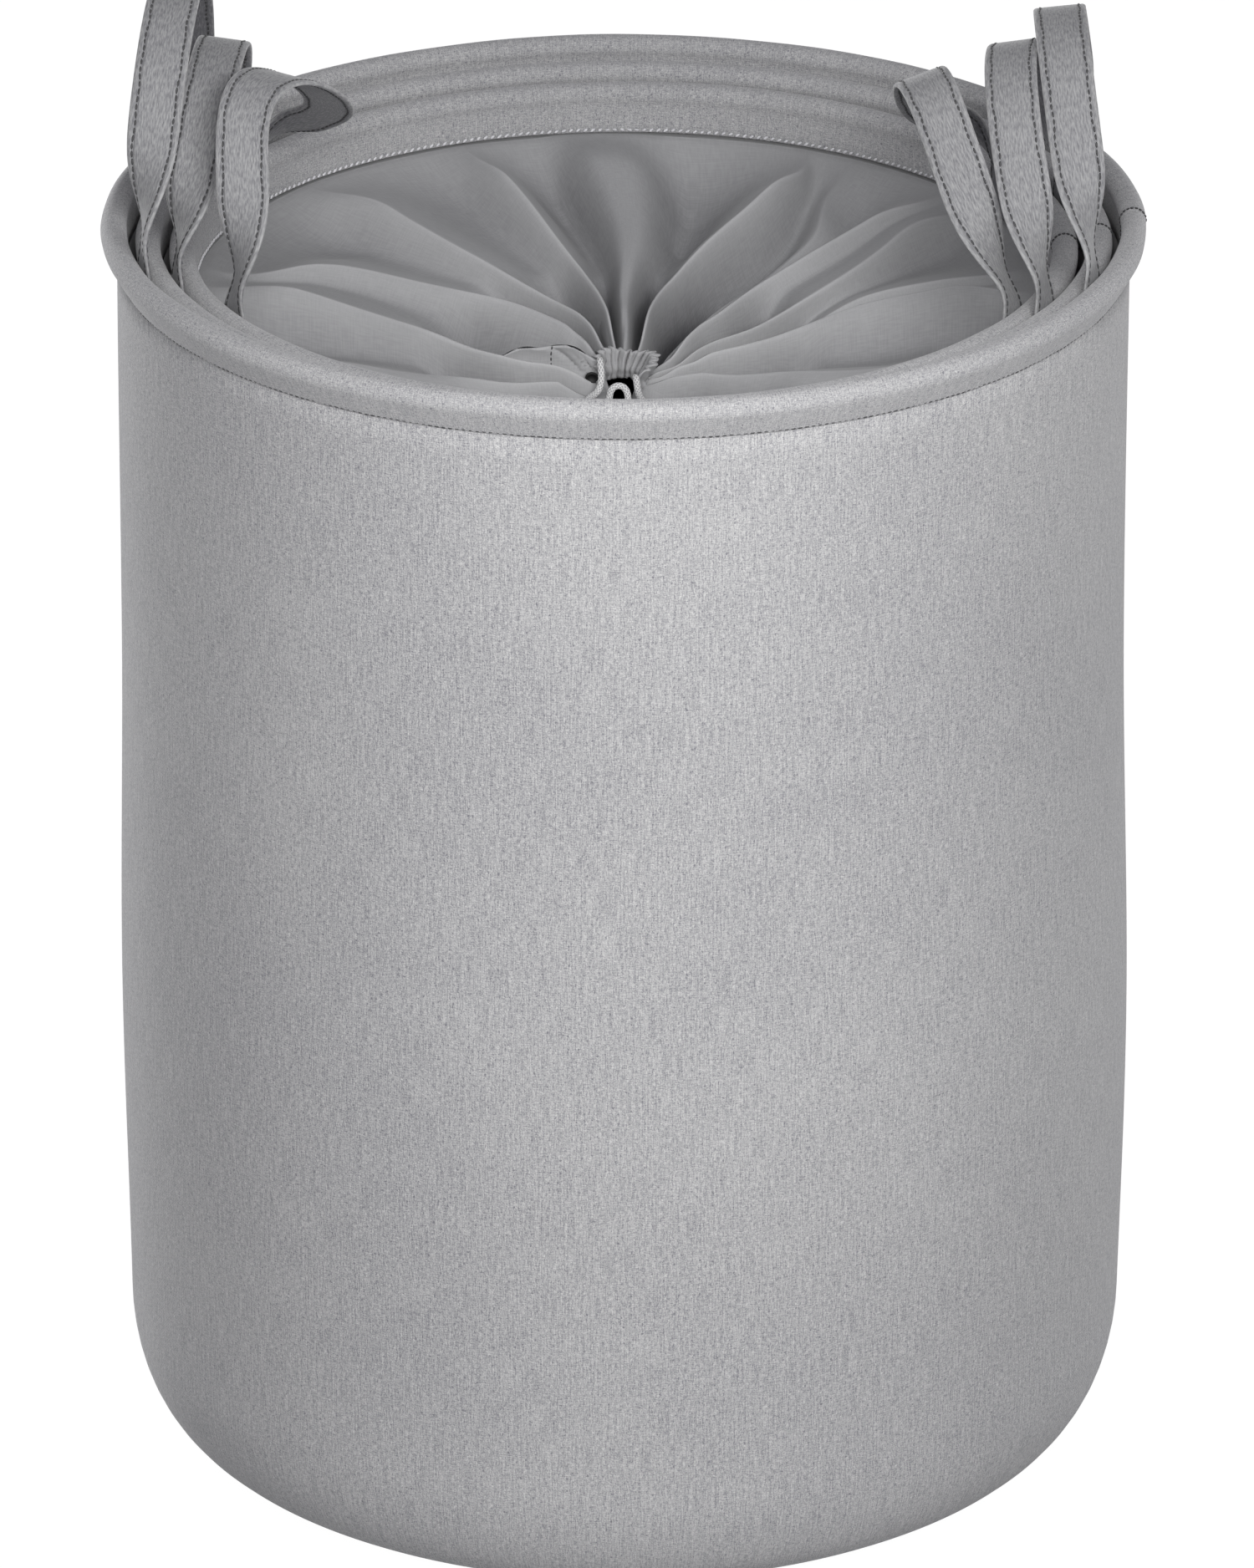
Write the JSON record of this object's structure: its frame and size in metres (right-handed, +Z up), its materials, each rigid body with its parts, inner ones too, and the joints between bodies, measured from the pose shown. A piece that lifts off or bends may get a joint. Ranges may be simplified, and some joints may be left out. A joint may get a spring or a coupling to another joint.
{
  "type": "nested laundry hampers",
  "caption": "Collapsible round fabric laundry hampers nested in one another, with hooped rims, strap handles and a drawstring closure cloth gathered across the mouth",
  "frame": {"origin": "centre of the nest's base, on the surface that it stands on", "axes": "+Z up, +X to the right handles and -Y to the front, where the drawcord comes out"},
  "size_m": [0.4, 0.4, 0.5857],
  "materials": {
    "linen_wall": "heathered grey linen weave",
    "linen_base": "grey linen weave",
    "closure_cloth": "smooth grey lining cloth",
    "braided_cord": "pale braided cord",
    "rim_hoop_core": "plain round rod, hidden in the hem",
    "handle_strap": "folded linen strap with stitched edges"
  },
  "bodies": {
    "outer_base": {"outer_wall": "linen_wall", "outer_foot": "linen_wall", "outer_bottom": "linen_base"},
    "outer_rim": {"outer_rim_hem": "linen_wall", "outer_rim_hoop": "rim_hoop_core", "outer_cover": "closure_cloth", "outer_drawcord": "braided_cord", "outer_handle_right_end_a": "handle_strap", "outer_handle_right_end_b": "handle_strap", "outer_handle_left_end_a": "handle_strap", "outer_handle_left_end_b": "handle_strap"},
    "outer_right_loop": {"outer_handle_right": "handle_strap"},
    "outer_left_loop": {"outer_handle_left": "handle_strap"},
    "middle_base": {"middle_wall": "linen_wall", "middle_foot": "linen_wall", "middle_bottom": "linen_base"},
    "middle_rim": {"middle_rim_hem": "linen_wall", "middle_rim_hoop": "rim_hoop_core", "middle_cover": "closure_cloth", "middle_drawcord": "braided_cord", "middle_handle_right_end_a": "handle_strap", "middle_handle_right_end_b": "handle_strap", "middle_handle_left_end_a": "handle_strap", "middle_handle_left_end_b": "handle_strap"},
    "middle_right_loop": {"middle_handle_right": "handle_strap"},
    "middle_left_loop": {"middle_handle_left": "handle_strap"},
    "inner_base": {"inner_wall": "linen_wall", "inner_foot": "linen_wall", "inner_bottom": "linen_base"},
    "inner_rim": {"inner_rim_hem": "linen_wall", "inner_rim_hoop": "rim_hoop_core", "inner_cover": "closure_cloth", "inner_drawcord_left": "braided_cord", "inner_drawcord_coil": "braided_cord", "inner_drawcord_right": "braided_cord", "inner_handle_right_end_a": "handle_strap", "inner_handle_right_end_b": "handle_strap", "inner_handle_left_end_a": "handle_strap", "inner_handle_left_end_b": "handle_strap"},
    "inner_right_loop": {"inner_handle_right": "handle_strap"},
    "inner_left_loop": {"inner_handle_left": "handle_strap"}
  },
  "joints": [
    {"name": "outer_collapse", "type": "slide", "parent": "outer_base", "child": "outer_rim", "axis": [0, 0, -1], "range_m": [0, 0.4], "deforming": ["outer_wall", "outer_foot", "outer_cover", "outer_drawcord"]},
    {"name": "outer_handle_right_swing", "type": "hinge", "parent": "outer_rim", "child": "outer_right_loop", "pos_m": [0.17673, 0, 0.5022], "axis": [0, 1, 0], "range_deg": [0, 65]},
    {"name": "outer_handle_left_swing", "type": "hinge", "parent": "outer_rim", "child": "outer_left_loop", "pos_m": [-0.17606, 0.0154, 0.5022], "axis": [-0.0871, -0.9962, 0], "range_deg": [0, 65]},
    {"name": "middle_lift", "type": "slide", "parent": "outer_base", "child": "middle_base", "axis": [0, 0, 1], "range_m": [0, 0.6], "deforming": ["outer_handle_right", "outer_handle_left"]},
    {"name": "middle_collapse", "type": "slide", "parent": "middle_base", "child": "middle_rim", "axis": [0, 0, -1], "range_m": [0, 0.4], "deforming": ["middle_wall", "middle_foot", "middle_cover", "middle_drawcord"]},
    {"name": "middle_handle_right_swing", "type": "hinge", "parent": "middle_rim", "child": "middle_right_loop", "pos_m": [0.16389, -0.01434, 0.4957], "axis": [0.0872, 0.9962, 0], "range_deg": [0, 45.5]},
    {"name": "middle_handle_left_swing", "type": "hinge", "parent": "middle_rim", "child": "middle_left_loop", "pos_m": [-0.16389, 0.01434, 0.4957], "axis": [-0.0872, -0.9962, 0], "range_deg": [0, 45.5]},
    {"name": "inner_lift", "type": "slide", "parent": "middle_base", "child": "inner_base", "axis": [0, 0, 1], "range_m": [0, 0.6], "deforming": ["middle_handle_right", "middle_handle_left"]},
    {"name": "inner_collapse", "type": "slide", "parent": "inner_base", "child": "inner_rim", "axis": [0, 0, -1], "range_m": [0, 0.4], "deforming": ["inner_wall", "inner_foot"]},
    {"name": "inner_handle_right_swing", "type": "hinge", "parent": "inner_rim", "child": "inner_right_loop", "pos_m": [0.14689, 0, 0.4917], "axis": [0, 1, 0], "range_deg": [-45, 3]},
    {"name": "inner_handle_left_swing", "type": "hinge", "parent": "inner_rim", "child": "inner_left_loop", "pos_m": [-0.14689, 0, 0.4917], "axis": [0, -1, 0], "range_deg": [-45, 3]}
  ],
  "couplings": [
    {"joint": "middle_collapse", "follows": "outer_collapse", "ratio": 1},
    {"joint": "inner_collapse", "follows": "outer_collapse", "ratio": 1},
    {"joint": "middle_handle_right_swing", "follows": "outer_handle_right_swing", "ratio": 0.7},
    {"joint": "middle_handle_left_swing", "follows": "outer_handle_left_swing", "ratio": 0.7}
  ]
}
